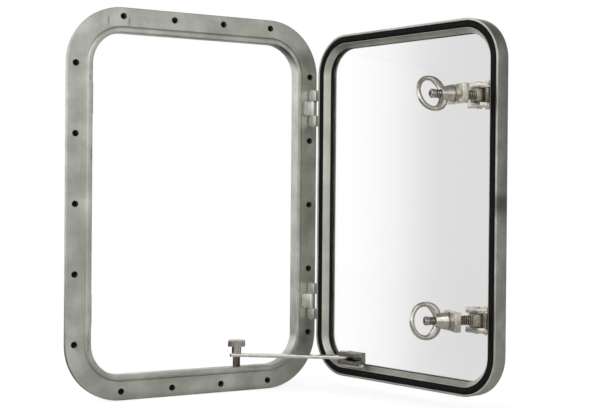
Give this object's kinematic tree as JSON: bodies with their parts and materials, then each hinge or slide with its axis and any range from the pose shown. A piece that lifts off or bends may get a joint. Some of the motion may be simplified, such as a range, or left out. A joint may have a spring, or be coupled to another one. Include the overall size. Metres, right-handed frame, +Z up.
{
  "type": "deck hatch",
  "caption": "Side-hung glazed ship's hatch: bolted round-cornered metal frame, gasketed glass sash on pin hinges, swing-bolt clamps with ring nuts and a hooked stay.",
  "frame": {"origin": "on the flange's rear seating face, midway along the bottom row of bolt holes", "axes": "+X along the frame towards the hinges, +Y into the vessel, +Z up"},
  "size_m": [0.6132, 0.4943, 0.71],
  "materials": {
    "satin_aluminium": "satin, lightly brushed",
    "stainless_steel": "machined, semi-bright",
    "black_rubber": "matt moulded",
    "clear_glass": "clear toughened"
  },
  "bodies": {
    "frame": {"hatch_frame": "satin_aluminium", "keeper_upper": "satin_aluminium", "keeper_lower": "satin_aluminium", "hinge_leaf_upper": "satin_aluminium", "hinge_leaf_lower": "satin_aluminium", "hinge_pin_upper": "stainless_steel", "hinge_pin_lower": "stainless_steel", "stay_post": "stainless_steel"},
    "sash": {"sash_frame": "satin_aluminium", "sash_gasket": "black_rubber", "glazing_bead": "satin_aluminium", "glazing_seal": "black_rubber", "glass_pane": "clear_glass", "sash_knuckle_upper_top": "satin_aluminium", "sash_knuckle_upper_bottom": "satin_aluminium", "sash_knuckle_lower_top": "satin_aluminium", "sash_knuckle_lower_bottom": "satin_aluminium", "clamp_ear_upper_top": "stainless_steel", "clamp_ear_upper_bottom": "stainless_steel", "clamp_ear_lower_top": "stainless_steel", "clamp_ear_lower_bottom": "stainless_steel", "clamp_pin_upper": "stainless_steel", "clamp_pin_lower": "stainless_steel", "stay_clevis": "stainless_steel", "stay_pin": "stainless_steel"},
    "bolt_upper": {"swing_bolt_upper": "stainless_steel", "pressure_block_upper": "stainless_steel"},
    "bolt_lower": {"swing_bolt_lower": "stainless_steel", "pressure_block_lower": "stainless_steel"},
    "nut_upper": {"ring_nut_upper": "stainless_steel"},
    "nut_lower": {"ring_nut_lower": "stainless_steel"},
    "stay": {"stay_bar": "stainless_steel"},
    "knob": {"stay_knob": "stainless_steel"}
  },
  "joints": [
    {"name": "sash_hinge", "type": "hinge", "parent": "frame", "child": "sash", "pos_m": [0.2415, -0.018, 0.339], "axis": [0, 0, 1], "range_deg": [-101.3, 0]},
    {"name": "stay_pivot", "type": "hinge", "parent": "sash", "child": "stay", "pos_m": [0.25658, -0.119, 0.051], "axis": [0, 0, 1], "range_deg": [0, 137.4]},
    {"name": "clamp_swing_upper", "type": "hinge", "parent": "sash", "child": "bolt_upper", "pos_m": [0.32301, -0.43562, 0.529], "axis": [0, 0, 1], "range_deg": [-57, 18]},
    {"name": "clamp_swing_lower", "type": "hinge", "parent": "sash", "child": "bolt_lower", "pos_m": [0.32301, -0.43562, 0.149], "axis": [0, 0, 1], "range_deg": [-47, 28]},
    {"name": "ring_nut_spin_upper", "type": "hinge", "parent": "bolt_upper", "child": "nut_upper", "pos_m": [0.32301, -0.43562, 0.529], "axis": [-0.9932, 0.1167, 0], "continuous": true},
    {"name": "ring_nut_spin_lower", "type": "hinge", "parent": "bolt_lower", "child": "nut_lower", "pos_m": [0.32301, -0.43562, 0.149], "axis": [-0.9578, 0.2874, 0], "continuous": true},
    {"name": "knob_spin", "type": "hinge", "parent": "frame", "child": "knob", "pos_m": [0.089, 0.003, 0.067], "axis": [0, 0, 1], "continuous": true}
  ],
  "couplings": [
    {"joint": "stay_pivot", "follows": "sash_hinge", "ratio": -1.3559}
  ]
}
